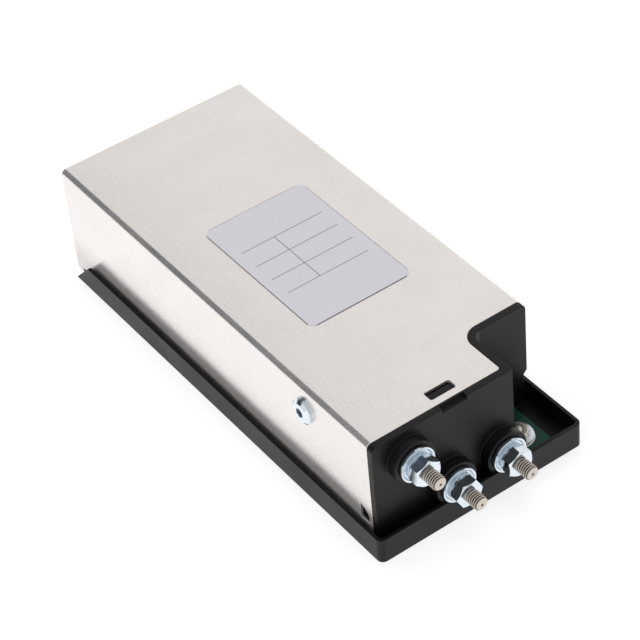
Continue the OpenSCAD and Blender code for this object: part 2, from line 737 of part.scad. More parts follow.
module board_screws() {
    color("#b9c6cf") for (p = pillar_at) translate([p[0], p[1], board_top]) rotate_extrude()
        polygon([[0, floor_t - board_top], [board_screw_r, floor_t - board_top],
            [board_screw_r, 0], [2.7, 0], [2.7, 1.2], [2.1, 1.8], [0, 1.8]]);
}

module tongue_stud() {
    color("#c9c0b0") translate([x_l + pad_x, y_f + pad_y, 0]) {
        translate([0, 0, floor_t]) cylinder(h = board_z - floor_t, r = pad_head_r);
        translate([0, 0, board_z - (board_z - floor_t) / 2])
            cylinder(h = (board_z - floor_t) / 2 + board_t + pad_washer_t + pad_nut_t + 0.2, r = pad_stud_r);
    }
}
module tongue_washer() {
    color("#c4ced6") translate([x_l + pad_x, y_f + pad_y, board_top]) difference() {
        cylinder(h = pad_washer_t, r = pad_washer_r);
        translate([0, 0, -through]) cylinder(h = pad_washer_t + 2 * through, r = pad_stud_r + bore_gap);
    }
}
module tongue_nut() {
    color("#c9c0b0") translate([x_l + pad_x, y_f + pad_y, board_top + pad_washer_t]) rotate(20)
        hex_nut(pad_nut_af, pad_nut_t, pad_stud_r);
}

// ---- common-mode choke ----

module on_choke() { translate([choke_at[0], choke_at[1], core_z]) children(); }

module choke_core() {
    color("#3b3f3c") on_choke() difference() {
        cylinder(h = core_h, r = core_ro);
        translate([0, 0, -through]) cylinder(h = core_h + 2 * through, r = core_ri);
    }
}

// Centre line of a winding as [radius, height, angle]: rounds of the core that step on by one
// pitch beneath it, with a straight lead down from each end
function winding_line(a0) = let (
    ro = core_ro + wire_flat,
    ri = core_ri - core_gap - wire_flat,
    top = core_h + wire_flat,
    end = a0 + turns * turn_pitch)
    concat(
        [[ro, lead_end - core_z, a0]],
        [for (i = [0:turns - 1]) let (a = a0 + i * turn_pitch) each concat(
            i == 0 ? [] : [[ro, -wire_bend, a]],
            [[ro, core_h + wire_bend, a], [core_ro + wire_bend, top, a],
             [ri + wire_flat - wire_bend, top, a], [ri, core_h + wire_bend, a],
             [ri, -wire_bend, a], [ri + wire_flat - wire_bend, -wire_flat, a]],
            i == turns - 1 ? [] : [[core_ro + wire_bend, -wire_flat, a + turn_pitch]])],
        [[ro - wire_bend, -wire_flat, end], [ro, -wire_flat - wire_bend, end],
         [ro, lead_end - core_z, end]]);
function unit(v) = v / norm(v);
function step(line, i) = unit([line[i + 1][0] - line[i][0], line[i + 1][1] - line[i][1]]);
// Ring of the wire's section at one point of the line, mitred between the steps before and after it
function wire_ring(line, i) = let (
    back = step(line, max(i - 1, 0)),
    fore = step(line, min(i, len(line) - 2)),
    mid = unit(back + fore),
    mitre = 1 / (mid * back),
    p = line[i])
    [for (k = [0:wire_sides - 1]) let (
        q = (k + 0.5) * 360 / wire_sides,
        across = wire_d / 2 * cos(q),
        out = wire_d / 2 * sin(q) * mitre,
        r = p[0] - out * mid[1],
        z = p[1] + out * mid[0])
        [r * cos(p[2]) - across * sin(p[2]), r * sin(p[2]) + across * cos(p[2]), z]];

// Wire swept along a winding's line
module swept_wire(line) {
    n = len(line);
    m = wire_sides;
    polyhedron(
        points = [for (i = [0:n - 1]) each wire_ring(line, i)],
        faces = concat(
            [[for (k = [0:m - 1]) k]],
            [for (i = [0:n - 2], k = [0:m - 1]) let (j = (k + 1) % m)
                each [[i * m + k, (i + 1) * m + k, (i + 1) * m + j],
                      [i * m + k, (i + 1) * m + j, i * m + j]]],
            [[for (k = [0:m - 1]) n * m - 1 - k]]));
}

function winding_start(s) = (s > 0 ? 0 : 180) - turns * turn_pitch / 2;
function winding_end(s, e) = let (a = winding_start(s) + (e < 0 ? 0 : turns * turn_pitch))
    [choke_at[0] + (core_ro + wire_flat) * cos(a), choke_at[1] + (core_ro + wire_flat) * sin(a)];

module winding(s) {
    on_choke() swept_wire(winding_line(winding_start(s)));
}
module choke_winding_phase() { color("#b5652b") winding(1); }
module choke_winding_neutral() { color("#b5652b") winding(-1); }

module choke_carrier() {
    color("#2b2b2d") difference() {
        union() {
            translate([choke_at[0], choke_at[1], board_top]) cylinder(h = carrier_t, r = carrier_r);
            // insulating web between the two windings
            translate([choke_at[0] - 0.6, choke_at[1] - core_ri + 0.2, board_top])
                cube([1.2, 2 * core_ri - 0.4, core_z - board_top + core_h]);
        }
        for (s = [-1, 1], e = [-1, 1])
            translate([winding_end(s, e)[0], winding_end(s, e)[1], board_top - through])
                cylinder(h = carrier_t + 2 * through, r = wire_d / 2 + lead_gap);
    }
}

// ---- capacitors and small parts ----

module x_capacitor(c) {
    translate([c[0], c[1], board_top]) difference() {
        upright(0, xcap_h) round_rect(-xcap_l / 2, -xcap_w / 2, xcap_l / 2, xcap_w / 2, 0.8);
        translate([0, 0, xcap_h]) cube([xcap_l - 2, xcap_w - 2, 0.4], center = true);
    }
    for (s = [-1, 1]) translate([c[0] + s * xcap_pitch / 2, c[1], lead_end])
        cylinder(h = board_top - lead_end + through, r = lead_r);
}
module x_capacitor_load() { color("#c8b23a") x_capacitor(xcap_at[0]); }
module x_capacitor_line() { color("#c8b23a") x_capacitor(xcap_at[1]); }

// Disc part standing on edge: a disc with rounded edge and two leads
module disc_part(c, r, t) {
    translate([c[0], c[1], board_top + r + disc_foot]) rotate([90, 0, 0]) translate([0, 0, -t / 2])
        rotate_extrude() polygon([[0, 0], [r - 1, 0], [r, 1], [r, t - 1], [r - 1, t], [0, t]]);
    for (s = [-1, 1]) translate([c[0] + s * ycap_pitch / 2, c[1], 0]) {
        translate([0, 0, lead_end]) cylinder(h = board_top - lead_end + r, r = lead_r);
        // coating that runs down the lead and stands on the board
        translate([0, 0, board_top]) cylinder(h = r, r = 2 * lead_r);
    }
}
module y_capacitors() {
    color("#2f6fb0") for (i = [0:1]) disc_part([ycap_x, ycap_y + i * ycap_step], ycap_r, ycap_t);
}
module surge_disc() { color("#2f6fb0") disc_part(varistor_at, varistor_r, varistor_t); }

module discharge_resistor() {
    color("#c7b08a") translate([resistor_at[0], resistor_at[1], board_top + resistor_r]) {
        rotate([0, 90, 0]) cylinder(h = resistor_l, r = resistor_r, center = true);
        rotate([0, 90, 0]) cylinder(h = resistor_pitch, r = lead_r, center = true);
        for (s = [-1, 1]) translate([s * resistor_pitch / 2, 0, lead_end - board_top - resistor_r])
            cylinder(h = board_top + resistor_r - lead_end + lead_r, r = lead_r);
    }
}

base_moulding();
sheet_cover();
rating_plate();
cover_screw();
earth_bracket();
bracket_nut();
load_stud_earth();
load_stud_neutral();
load_stud_phase();
load_cup_washers();
load_spring_washers();
load_nuts();
line_stud_earth();
line_stud_neutral();
line_stud_phase();
line_cup_washers();
line_spring_washers();
line_nuts();
load_busbars();
line_busbars();
circuit_board();
board_screws();
tongue_stud();
tongue_washer();
tongue_nut();
choke_core();
choke_winding_phase();
choke_winding_neutral();
choke_carrier();
x_capacitor_line();
x_capacitor_load();
y_capacitors();
discharge_resistor();
surge_disc();
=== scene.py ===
"""Looks of an enclosed mains line filter: sheet cover, black moulded base, screw-stud terminals.

Laid out as a Blender add-on and run as a script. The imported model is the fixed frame; this file
gives every piece its finish, eases edges, cuts the threads of the studs, and sets the stage.
"""

import math

import bmesh
import bpy
import numpy as np
from mathutils import Matrix, Vector


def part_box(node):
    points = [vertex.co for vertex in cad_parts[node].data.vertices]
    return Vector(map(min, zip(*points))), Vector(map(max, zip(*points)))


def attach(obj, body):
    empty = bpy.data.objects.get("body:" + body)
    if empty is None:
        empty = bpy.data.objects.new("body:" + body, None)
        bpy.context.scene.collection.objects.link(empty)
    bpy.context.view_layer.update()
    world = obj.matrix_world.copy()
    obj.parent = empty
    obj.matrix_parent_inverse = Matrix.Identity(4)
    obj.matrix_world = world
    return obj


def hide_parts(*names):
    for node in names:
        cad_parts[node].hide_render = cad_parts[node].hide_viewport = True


bl_info = {
    "name": "Line filter looks",
    "version": (1, 0, 0),
    "blender": (4, 5, 0),
    "location": "3D View > Sidebar > Line filter",
    "description": "Finishes, threads and stage for an enclosed mains line filter",
    "category": "Object",
}

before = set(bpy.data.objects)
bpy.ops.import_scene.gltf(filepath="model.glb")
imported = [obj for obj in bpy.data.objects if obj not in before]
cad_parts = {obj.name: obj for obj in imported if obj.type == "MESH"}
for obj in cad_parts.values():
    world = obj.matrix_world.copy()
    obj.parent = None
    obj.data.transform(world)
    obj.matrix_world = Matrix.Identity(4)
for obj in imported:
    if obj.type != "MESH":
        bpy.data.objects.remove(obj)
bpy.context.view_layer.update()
MM = 0.001

# shallow dimples in the cover's top: x, y and radius
DIMPLES = (
    (5.95 * MM, 34.0 * MM, 1.3 * MM),
    (4.15 * MM, -35.1 * MM, 1.1 * MM),
    (26.55 * MM, 58.4 * MM, 1.0 * MM),
)
# the empty table on the plate, as shares of its length, and the upright's share of its width
TABLE_RULES = (0.30, 0.44, 0.58, 0.72)
TABLE_UPRIGHT = 0.42
TABLE_MARGIN = 3 * MM
SOCKET_RADIUS = 1.15 * MM

# terminal studs: head, shank in the nut and the wall, thread on the free end
HEAD_T = 1.4 * MM
SHANK_R = 1.77 * MM
THREAD_R = 1.98 * MM
FREE_END = 4.2 * MM
# the tongue's stud
PAD_HEAD_T = 1.6 * MM
PAD_STUD_R = 1.5 * MM
PAD_THREAD_FROM = 1.8 * MM
PAD_PITCH = 0.5 * MM
PAD_DEPTH = 0.26 * MM
PAD_HOLE = 0.05 * MM


# ---- sizes and colours ----


class FILTER_PG_sizes(bpy.types.PropertyGroup):
    """Sizes of what is cut or printed here rather than in the solids."""

    thread_pitch: bpy.props.FloatProperty(
        name="Thread pitch", description="Pitch of the terminal threads",
        default=0.7 * MM, min=0.3 * MM, max=1.5 * MM, subtype="DISTANCE", unit="LENGTH")
    thread_depth: bpy.props.FloatProperty(
        name="Thread depth", description="Depth of the terminal threads",
        default=0.36 * MM, min=0.1 * MM, max=0.6 * MM, subtype="DISTANCE", unit="LENGTH")
    tip_chamfer: bpy.props.FloatProperty(
        name="Tip chamfer", description="Length of the rounded end of a stud",
        default=0.7 * MM, min=0.2 * MM, max=1.5 * MM, subtype="DISTANCE", unit="LENGTH")
    tip_hole: bpy.props.FloatProperty(
        name="Tip hole", description="Radius of the centre hole in a stud's end",
        default=0.35 * MM, min=0.1 * MM, max=0.6 * MM, subtype="DISTANCE", unit="LENGTH")
    grain: bpy.props.FloatProperty(
        name="Grain width", description="Width of the rolling grain on the cover",
        default=0.35 * MM, min=0.1 * MM, max=2 * MM, subtype="DISTANCE", unit="LENGTH")
    edge_round: bpy.props.FloatProperty(
        name="Edge round", description="How far the moulding's and the sheet's edges are eased",
        default=0.2 * MM, min=0.05 * MM, max=0.25 * MM, subtype="DISTANCE", unit="LENGTH")
    rule_width: bpy.props.FloatProperty(
        name="Rule width", description="Width of the blank plate's printed rules",
        default=0.22 * MM, min=0.1 * MM, max=0.6 * MM, subtype="DISTANCE", unit="LENGTH")


class FILTER_PG_colours(bpy.types.PropertyGroup):
    """Base colours of the finishes."""

    cover: bpy.props.FloatVectorProperty(
        name="Cover", description="Colour of the sheet cover",
        default=(0.80, 0.762, 0.73), min=0, max=1, size=3, subtype="COLOR")
    moulding: bpy.props.FloatVectorProperty(
        name="Moulding", description="Colour of the black base",
        default=(0.0055, 0.0053, 0.0062), min=0, max=1, size=3, subtype="COLOR")
    plate: bpy.props.FloatVectorProperty(
        name="Rating plate", description="Colour of the bare rating plate",
        default=(0.83, 0.82, 0.86), min=0, max=1, size=3, subtype="COLOR")
    zinc: bpy.props.FloatVectorProperty(
        name="Zinc", description="Colour of the nuts, washers and side screw",
        default=(0.64, 0.70, 0.75), min=0, max=1, size=3, subtype="COLOR")
    nickel: bpy.props.FloatVectorProperty(
        name="Nickel", description="Colour of the studs",
        default=(0.60, 0.54, 0.47), min=0, max=1, size=3, subtype="COLOR")
    board: bpy.props.FloatVectorProperty(
        name="Board", description="Colour of the circuit board's lacquer",
        default=(0.004, 0.055, 0.032), min=0, max=1, size=3, subtype="COLOR")


def sizes():
    return bpy.context.scene.filter_sizes


def colours():
    return bpy.context.scene.filter_colours


# ---- shader maths ----


class Sock:
    """One output socket; arithmetic on it adds Math nodes to its tree."""

    def __init__(self, tree, socket):
        self.tree, self.socket = tree, socket

    def _math(self, operation, *values):
        return self.tree.add("ShaderNodeMath", {"operation": operation}, dict(enumerate(values)))

    def __add__(self, o): return self._math("ADD", self, o)
    def __radd__(self, o): return self._math("ADD", o, self)
    def __sub__(self, o): return self._math("SUBTRACT", self, o)
    def __rsub__(self, o): return self._math("SUBTRACT", o, self)
    def __mul__(self, o): return self._math("MULTIPLY", self, o)
    def __rmul__(self, o): return self._math("MULTIPLY", o, self)
    def __lt__(self, o): return self._math("LESS_THAN", self, o)
    def __gt__(self, o): return self._math("GREATER_THAN", self, o)
    def __abs__(self): return self._math("ABSOLUTE", self)
    def least(self, o): return self._math("MINIMUM", self, o)
    def most(self, o): return self._math("MAXIMUM", self, o)
    def root(self): return self._math("SQRT", self)


class Shader:
    """A material's node tree with its Principled shader, and short ways to add to it."""

    def __init__(self, name):
        self.material = bpy.data.materials.new(name)
        self.material.use_nodes = True
        self.nodes = self.material.node_tree.nodes
        self.links = self.material.node_tree.links
        self.bsdf = self.nodes["Principled BSDF"]

    def put(self, socket, value):
        """Links a Sock, or writes a plain value."""
        if isinstance(value, Sock):
            self.links.new(value.socket, socket)
        elif isinstance(value, (tuple, list)) and len(value) == 3 and socket.type == "RGBA":
            socket.default_value = (*value, 1)
        else:
            socket.default_value = value

    def add(self, kind, settings=None, inputs=None, out=0):
        """Adds a node: its settings first, then its input values or links; returns one output."""
        node = self.nodes.new(kind)
        for key, value in (settings or {}).items():
            if key == "stops":
                ramp = node.color_ramp
                while len(ramp.elements) < len(value):
                    ramp.elements.new(0.5)
                for element, (at, colour) in zip(ramp.elements, value):
                    element.position, element.color = at, (*colour, 1)
            else:
                setattr(node, key, value)
        for key, value in (inputs or {}).items():
            self.put(node.inputs[key], value)
        return Sock(self, node.outputs[out])

    def place(self):
        """Object coordinates, in metres."""
        return self.add("ShaderNodeTexCoord", out="Object")

    def axes(self, vector):
        """X, Y and Z of a vector as three Socks."""
        split = self.add("ShaderNodeSeparateXYZ", inputs={0: vector}).socket.node
        return [Sock(self, split.outputs[i]) for i in range(3)]

    def noise(self, vector, size, detail=3.0, rough=0.55, stretch=(1, 1, 1)):
        """Noise from 0 to 1 with features of about the given size in metres."""
        scaled = self.add("ShaderNodeMapping", {"vector_type": "POINT"},
                          {"Vector": vector, "Scale": tuple(s / size for s in stretch)})
        return self.add("ShaderNodeTexNoise", inputs={
            "Vector": scaled, "Scale": 1.0, "Detail": detail, "Roughness": rough})

    def spread(self, value, low, high, to_low=0.0, to_high=1.0):
        """Carries low..high over to to_low..to_high and holds it there."""
        return self.add("ShaderNodeMapRange", {"clamp": True}, {
            0: value, 1: low, 2: high, 3: to_low, 4: to_high})

    def blend(self, factor, a, b):
        """Colour a where factor is 0, colour b where it is 1."""
        mix = self.add("ShaderNodeMix", {"data_type": "RGBA"}).socket.node
        for key, value in ((0, factor), (6, a), (7, b)):
            self.put(mix.inputs[key], value)
        return Sock(self, mix.outputs[2])

    def bump(self, height, strength, distance):
        return self.add("ShaderNodeBump", inputs={
            "Strength": strength, "Distance": distance, "Height": height})

    def finish(self, **inputs):
        """Writes the Principled shader's inputs, with _ for a space, and returns the material."""
        for key, value in inputs.items():
            self.put(self.bsdf.inputs[key.replace("_", " ")], value)
        return self.material


def tint(colour, factor):
    return tuple(min(1.0, c * factor) for c in colour)


def away(u, v, mid_u, mid_v):
    """Distance in a plane from a point: the root of the two squared differences."""
    du, dv = u - mid_u, v - mid_v
    return (du * du + dv * dv).root()


# ---- finishes ----


def sheet_finish():
    """Satin rolled sheet: faint grain along the length, clouding, a few specks and three shallow
    dimples in the top. Towards its low edge the sheet is less metallic. A dimple is a ramp of the
    distance from its middle, in the plane of the top."""
    s = Shader("cover_sheet")
    at = s.place()
    grain = s.noise(at, sizes().grain, 2, 0.6, (1, 0.08, 1))
    cloud = s.noise(at, 18 * MM, 3)
    speck = s.spread(s.noise(at, 0.9 * MM, 1), 0.74, 0.80)
    base = colours().cover
    tone = s.blend(s.spread(cloud, 0.35, 0.65), tint(base, 0.965), tint(base, 1.02))
    tone = s.blend(s.spread(grain, 0.3, 0.7, 0, 0.05), tone, tint(base, 0.8))
    tone = s.blend(speck * 0.2, tone, tint(base, 0.55))
    rough = s.spread(grain, 0.3, 0.7, 0.25, 0.31) + s.spread(cloud, 0.3, 0.7, -0.02, 0.02)
    x, y, z = s.axes(at)
    dent = 0
    for mid_x, mid_y, r in DIMPLES:
        dent = dent + s.spread(away(x, y, mid_x, mid_y), 0.2 * r, r, 1, 0)
    return s.finish(Base_Color=tone, Metallic=s.spread(z, 6 * MM, 14 * MM, 0.35, 0.8), Roughness=rough,
                    Normal=s.bump(grain * 0.02 - dent, 0.5, 0.06 * MM))


def moulded_finish():
    """Black moulded plastic with a fine spark-eroded skin."""
    s = Shader("black_moulding")
    at = s.place()
    skin = s.noise(at, 0.22 * MM, 2)
    cloud = s.noise(at, 14 * MM, 3)
    base = colours().moulding
    tone = s.blend(s.spread(cloud, 0.3, 0.7), tint(base, 0.85), tint(base, 1.15))
    rough = s.spread(cloud, 0.3, 0.7, 0.42, 0.50)
    return s.finish(Base_Color=tone, Roughness=rough, Specular_IOR_Level=0.22,
                    Normal=s.bump(skin, 0.10, 0.04 * MM))


def plated_finish(name, colour, rough):
    """Plated steel: soft clouding and fine marks in the plating."""
    s = Shader(name)
    at = s.place()
    cloud = s.noise(at, 1.8 * MM, 3)
    marks = s.noise(at, 0.16 * MM, 2, 0.6)
    tone = s.blend(s.spread(cloud, 0.3, 0.7), tint(colour, 0.93), tint(colour, 1.04))
    return s.finish(Base_Color=tone, Metallic=1.0,
                    Roughness=s.spread(marks, 0.3, 0.7, rough - 0.015, rough + 0.02),
                    Normal=s.bump(marks, 0.01, 0.01 * MM))


def socket_finish():
    """Zinc plating with painted shade in the screw's socket: near black within a radius of the screw's axis.
    """
    s = Shader("socket_screw")
    at = s.place()
    _, y, z = s.axes(at)
    low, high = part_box("cover_screw")
    mid = (low + high) / 2
    # painted shade: where the socket's recess lies, the colour goes near black
    inside = away(y, z, mid.y, mid.z) < SOCKET_RADIUS
    marks = s.noise(at, 0.16 * MM, 2)
    base = colours().zinc
    bright = s.blend(s.spread(marks, 0.3, 0.7), tint(base, 0.95), tint(base, 1.04))
    # the near-black colour (0.03, 0.035, 0.045) is the socket's painted shade
    return s.finish(Base_Color=s.blend(inside, bright, (0.03, 0.035, 0.045)), Metallic=1.0,
                    Roughness=s.spread(marks, 0.3, 0.7, 0.14, 0.2))


def thread_finish():
    """Nickel-plated thread: bright warm crests, and painted shade in the roots and the tip's hole by the
    mesh's own shade attribute, which also lowers the metallic value there.
    """
    s = Shader("nickel_thread")
    at = s.place()
    groove = s.add("ShaderNodeAttribute", {"attribute_name": "groove"}, out="Fac")
    marks = s.noise(at, 0.16 * MM, 2)
    base = colours().nickel
    bright = s.blend(s.spread(marks, 0.3, 0.7), tint(base, 0.85), tint(base, 1.08))
    # dark brown-grey (0.09, 0.075, 0.062): painted shade in the thread's roots and the tip hole
    return s.finish(Base_Color=s.blend(s.spread(groove, 0.05, 0.5), bright, (0.09, 0.075, 0.062)),
                    Metallic=s.spread(groove, 0.3, 0.9, 0.8, 0.5),
                    Roughness=s.spread(marks, 0.3, 0.7, 0.24, 0.36))


def plate_finish():
    """Bare film plate: matt silver-grey with a thin dark cut edge and the rules of an empty table.
    A rule is where the distance to its line is under half the rule's width."""
    s = Shader("rating_plate")
    at = s.place()
    low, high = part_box("rating_plate")
    x, y, _ = s.axes(at)
    mid, half = (low + high) / 2, (high - low) / 2
    from_edge = (half.x - abs(x - mid.x)).least(half.y - abs(y - mid.y))
    edge = from_edge < 0.12 * MM
    wide = sizes().rule_width / 2
    lines = [low.y + share * 2 * half.y for share in TABLE_RULES]
    upright = abs(x - (low.x + TABLE_UPRIGHT * 2 * half.x)) < wide
    rules = upright * (y > lines[0]) * (y < lines[-1])
    for line in lines:
        rules = (abs(y - line) < wide).most(rules)
    print_mask = rules * (from_edge > TABLE_MARGIN)
    fleck = s.noise(at, 0.3 * MM, 2)
    base = colours().plate
    tone = s.blend(s.spread(fleck, 0.3, 0.7), tint(base, 0.985), tint(base, 1.015))
    tone = s.blend(print_mask * 0.8, tone, (0.03, 0.03, 0.035))
    return s.finish(Base_Color=s.blend(edge, tone, (0.12, 0.12, 0.13)), Metallic=0.0,
                    Roughness=s.spread(fleck, 0.3, 0.7, 0.42, 0.5))


def lacquer_finish():
    """Green board lacquer over a faint weave, with a thin tinned ring round the tongue washer."""
    s = Shader("circuit_board")
    at = s.place()
    x, y, _ = s.axes(at)
    low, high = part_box("tongue_washer")
    mid = (low + high) / 2
    ring = away(x, y, mid.x, mid.y) < (high.x - low.x) / 2 + 0.25 * MM
    weave = s.noise(at, 0.5 * MM, 2)
    cloud = s.noise(at, 6 * MM, 2)
    base = colours().board
    green = s.blend(s.spread(cloud, 0.3, 0.7), tint(base, 0.8), tint(base, 1.25))
    return s.finish(Base_Color=s.blend(ring, green, (0.62, 0.60, 0.55)), Metallic=ring * 0.9,
                    Roughness=s.spread(weave, 0.3, 0.7, 0.34, 0.44), Specular_IOR_Level=0.2,
                    Normal=s.bump(weave, 0.05, 0.03 * MM))


def enamel_finish():
    """Enamelled copper wire."""
    s = Shader("enamelled_wire")
    cloud = s.noise(s.place(), 3 * MM, 2)
    return s.finish(Base_Color=s.blend(s.spread(cloud, 0.3, 0.7), (0.42, 0.13, 0.04), (0.55, 0.2, 0.07)),
                    Metallic=0.85, Roughness=0.25, Coat_Weight=0.6)


def plain_body_finish(name, dark, light, rough, size):
    """A moulded or dipped component body with a mottled skin."""
    s = Shader(name)
    at = s.place()
    cloud = s.noise(at, size, 3)
    return s.finish(Base_Color=s.blend(s.spread(cloud, 0.3, 0.7), dark, light),
                    Roughness=s.spread(cloud, 0.3, 0.7, rough - 0.05, rough + 0.05),
                    Normal=s.bump(cloud, 0.1, 0.05 * MM))


def dress(finish, *nodes):
    """Puts a finish on CAD nodes."""
    for name in nodes:
        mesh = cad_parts[name].data
        mesh.materials.clear()
        mesh.materials.append(finish)


# ---- eased edges ----


def edged(node, finish, width, least_angle=35):
    """Merged copy of a CAD node with every edge sharper than the least angle eased by a two-step
    bevel of the given width. Coplanar triangles are joined first, so a bevel follows whole faces."""
    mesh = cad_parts[node].data.copy()
    mesh.name = node + "_eased"
    work = bmesh.new()
    work.from_mesh(mesh)
    bmesh.ops.remove_doubles(work, verts=work.verts, dist=0.01 * MM)
    bmesh.ops.dissolve_degenerate(work, edges=work.edges, dist=0.01 * MM)
    bmesh.ops.dissolve_limit(work, angle_limit=math.radians(0.6), verts=work.verts, edges=work.edges)
    bmesh.ops.recalc_face_normals(work, faces=work.faces)
    work.to_mesh(mesh)
    work.free()
    if "custom_normal" in mesh.attributes:
        mesh.attributes.remove(mesh.attributes["custom_normal"])
    mesh.polygons.foreach_set("use_smooth", np.ones(len(mesh.polygons), bool))
    mesh.set_sharp_from_angle(angle=math.radians(least_angle))
    mesh.materials.clear()
    mesh.materials.append(finish)
    piece = bpy.data.objects.new(node + "_eased", mesh)
    bpy.context.scene.collection.objects.link(piece)
    bevel = piece.modifiers.new("eased", "BEVEL")
    bevel.width, bevel.segments = width, 2
    bevel.limit_method, bevel.angle_limit = "ANGLE", math.radians(least_angle)
    bevel.use_clamp_overlap = False
    bevel.harden_normals = True
    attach(piece, "root")
    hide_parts(node)
    return piece


# ---- threaded studs ----


def rings_to_mesh(name, radii, along, place):
    """Closed surface from a grid of radii: row i is a ring at along[i], column j its angle.
    Point = place(r cos a, r sin a, h). Each end closes on a centre point."""
    rows, cols = radii.shape
    angle = np.arange(cols) * 2 * np.pi / cols
    ring = np.stack([radii * np.cos(angle), radii * np.sin(angle), along], -1).reshape(-1, 3)
    ends = np.array([[0, 0, along[0].mean()], [0, 0, along[-1].mean()]])
    points = place(np.concatenate([ring, ends]))
    i, j = np.meshgrid(np.arange(rows - 1), np.arange(cols), indexing="ij")
    k = (j + 1) % cols
    quads = np.stack([i * cols + j, i * cols + k, (i + 1) * cols + k, (i + 1) * cols + j], -1).reshape(-1, 4)
    c = np.arange(cols)
    d = (c + 1) % cols
    first = np.stack([d, c, np.full(cols, rows * cols)], -1)
    last = np.stack([(rows - 1) * cols + c, (rows - 1) * cols + d, np.full(cols, rows * cols + 1)], -1)
    mesh = bpy.data.meshes.new(name)
    mesh.from_pydata(points.tolist(), [], quads.tolist() + first.tolist() + last.tolist())
    mesh.validate()
    mesh.polygons.foreach_set("use_smooth", np.ones(len(mesh.polygons), bool))
    piece = bpy.data.objects.new(name, mesh)
    bpy.context.scene.collection.objects.link(piece)
    return piece


def threaded_stud(node, axis, outward, finish, head_t, r_shank, r, thread_from, pitch, depth, hole):
    """Stud round its own axis: head, plain shank, then a thread to a rounded tip with a hole.
    Thread radius = core + depth * crest(h / pitch - angle / turn), crest a rounded triangle wave,
    never above the tip's round: r_tip(h) = r - chamfer * (1 - sqrt(1 - u^2)). Painted root shade = 1 -
    crest."""
    low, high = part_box(node)
    axes = [a for a in range(3) if a != axis]
    mid = [(low[a] + high[a]) / 2 for a in range(3)]
    start = high[axis] if outward < 0 else low[axis]
    length = high[axis] - low[axis]
    r_head = max((high[a] - low[a]) / 2 for a in axes)
    tip = sizes().tip_chamfer
    cols = 48
    rows = int((length - thread_from) / pitch * 12)
    h = np.linspace(thread_from + 0.03 * MM, length - 0.01 * MM, rows)
    fixed_h = np.array([0, 0, 0, head_t, head_t, head_t, thread_from])
    fixed_r = np.array([r_head * 0.6, r_head * 0.95, r_head, r_head, r_shank * 1.02, r_shank, r_shank])
    phase = h[:, None] / pitch - np.arange(cols)[None, :] / cols
    crest = np.clip((1 - abs(2 * (phase % 1) - 1)) * 1.35 - 0.15, 0, 1)
    thread = r - depth + depth * crest
    u = np.clip((h - (length - tip)) / tip, 0, 1)
    rounding = (r - tip * (1 - np.sqrt(np.maximum(1 - u * u, 0))))[:, None] + 0 * phase
    # painted shade mark: 1 - crest where the thread is cut, so the roots come out dark
    groove = np.where(thread <= rounding, 1 - crest, 0)
    thread = np.minimum(thread, rounding)
    tail_h = np.array([length, length, length - 0.5 * MM])
    tail_r = np.array([hole * 1.25, hole, hole * 0.8])
    radii = np.concatenate([np.repeat(fixed_r[:, None], cols, 1), thread,
                            np.repeat(tail_r[:, None], cols, 1)])
    along = np.concatenate([fixed_h, h, tail_h])[:, None] * np.ones((1, cols))
    # the tip hole takes the painted shade too, full at its floor
    in_hole = np.repeat([[0], [0.7], [1]], cols, 1)
    marked = np.concatenate([np.zeros((len(fixed_h), cols)), groove, in_hole])

    # a stud that points down its axis, or lies along Y, is turned over so that its faces point outwards
    turn = outward * (-1 if axis == 1 else 1)

    def place(p):
        out = np.zeros_like(p)
        out[:, axes[0]] = mid[axes[0]] + p[:, 0]
        out[:, axes[1]] = mid[axes[1]] + p[:, 1] * turn
        out[:, axis] = start + outward * p[:, 2]
        return out

    piece = rings_to_mesh(node + "_thread", radii, along, place)
    values = np.concatenate([marked.reshape(-1), [0, 1]]).astype(np.float32)
    piece.data.attributes.new("groove", "FLOAT", "POINT").data.foreach_set("value", values)
    piece.data.materials.append(finish)
    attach(piece, "root")
    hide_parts(node)
    return piece


# ---- operators ----


class FILTER_OT_cover(bpy.types.Operator):
    """Finish the folded sheet cover"""

    bl_idname = "filter.cover"
    bl_label = "Sheet cover"

    def execute(self, context):
        edged("sheet_cover", sheet_finish(), sizes().edge_round)
        return {"FINISHED"}


class FILTER_OT_moulding(bpy.types.Operator):
    """Finish the black base moulding and the choke's carrier"""

    bl_idname = "filter.moulding"
    bl_label = "Base moulding"

    def execute(self, context):
        black = moulded_finish()
        edged("base_moulding", black, sizes().edge_round)
        dress(black, "choke_carrier")
        return {"FINISHED"}


class FILTER_OT_plate(bpy.types.Operator):
    """Finish the bare rating plate"""

    bl_idname = "filter.plate"
    bl_label = "Rating plate"

    def execute(self, context):
        dress(plate_finish(), "rating_plate")
        return {"FINISHED"}


class FILTER_OT_hardware(bpy.types.Operator):
    """Finish the zinc-plated nuts, washers and screws"""

    bl_idname = "filter.hardware"
    bl_label = "Nuts, washers and screws"

    def execute(self, context):
        zinc = plated_finish("zinc", colours().zinc, 0.16)
        dress(zinc, *[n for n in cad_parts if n.endswith(("washers", "nuts", "_screw", "_screws"))],
              "bracket_nut", "tongue_washer")
        dress(socket_finish(), "cover_screw")
        nickel = plated_finish("nickel", colours().nickel, 0.24)
        dress(nickel, "tongue_nut")
        dress(plated_finish("tinned_copper", (0.66, 0.65, 0.62), 0.32), "load_busbars", "line_busbars",
              "earth_bracket")
        return {"FINISHED"}


